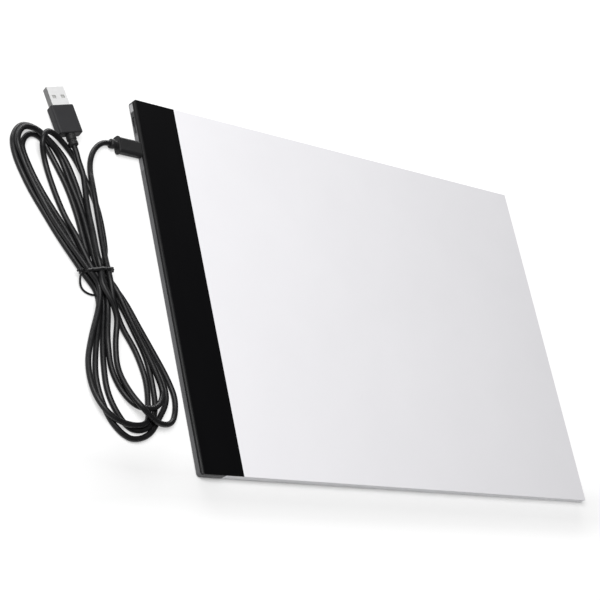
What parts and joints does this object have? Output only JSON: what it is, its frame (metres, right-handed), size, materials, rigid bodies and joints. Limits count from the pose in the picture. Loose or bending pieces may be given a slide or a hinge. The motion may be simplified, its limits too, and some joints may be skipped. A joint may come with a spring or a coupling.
{
  "type": "light box",
  "caption": "Thin A4-size light box for tracing: opal face with a black end band, side power button, and a detachable micro USB lead tied in a hank.",
  "frame": {"origin": "centre of the pad's footprint at the level of the feet's soles", "axes": "+X along the long side away from the black end housing, +Y along the short side towards the power button, +Z out of the luminous face"},
  "size_m": [0.4607, 0.24, 0.0116],
  "materials": {
    "opal_face": "satin opal acrylic sheet",
    "black_film": "smooth black printed film",
    "black_housing": "black moulded plastic, satin",
    "grey_housing": "dark grey moulded plastic",
    "grey_insert": "grey moulded insert",
    "light_insert": "light grey moulded insert",
    "white_sheet": "white rigid sheet",
    "white_film": "white film and tape",
    "clear_guide": "clear acrylic",
    "foot_rubber": "soft black rubber",
    "circuit_board": "green solder mask",
    "led_white": "led packages",
    "component_black": "moulded component",
    "component_tan": "ceramic component",
    "wire_red": "wire insulation",
    "wire_black": "wire insulation",
    "plated_steel": "nickel plated sheet",
    "contact_gold": "gold plated contact",
    "insulator_black": "black insulator",
    "insulator_white": "white insulator",
    "button_black": "satin black cap",
    "plug_black": "matt moulded pvc",
    "cable_black": "satin pvc jacket",
    "tie_black": "coated wire tie"
  },
  "bodies": {
    "pad": {"housing_base": "grey_housing", "housing_cover": "black_housing", "button_bezel": "light_insert", "port_bezel": "grey_insert", "mask_film": "black_film", "front_sheet": "opal_face", "diffuser_film": "white_film", "light_guide_plate": "clear_guide", "reflector_film": "white_film", "back_sheet": "white_sheet", "edge_tape": "white_film", "rubber_feet": "foot_rubber", "led_strip_board": "circuit_board", "leds": "led_white", "strip_resistors": "component_black", "control_board": "circuit_board", "controller_chip": "component_black", "driver_transistor": "component_black", "board_capacitors": "component_tan", "board_resistors": "component_black", "lead_wire_red": "wire_red", "lead_wire_black": "wire_black", "micro_usb_socket": "plated_steel", "socket_tongue": "insulator_black", "socket_contacts": "contact_gold", "switch_body": "component_black"},
    "button": {"power_button": "button_black", "switch_plunger": "insulator_white"},
    "lead": {"micro_plug_shell": "plated_steel", "micro_plug_insert": "insulator_black", "micro_plug_contacts": "contact_gold", "micro_plug_body": "plug_black", "micro_strain_relief": "plug_black", "cable_lead": "cable_black", "cable_hank": "cable_black", "cable_tail": "cable_black", "usb_plug_shell": "plated_steel", "usb_plug_insert": "insulator_white", "usb_plug_contacts": "contact_gold", "usb_plug_body": "plug_black", "usb_strain_relief": "plug_black", "twist_tie": "tie_black"}
  },
  "joints": [
    {"name": "power_button_press", "type": "slide", "parent": "pad", "child": "button", "axis": [1, 0, 0], "range_m": [0, 0.00035], "stiffness_N_per_m": 800, "springref_m": -0.0005},
    {"name": "lead_unplug", "type": "slide", "parent": "pad", "child": "lead", "axis": [-1, 0, 0], "range_m": [0, 0.012]}
  ]
}
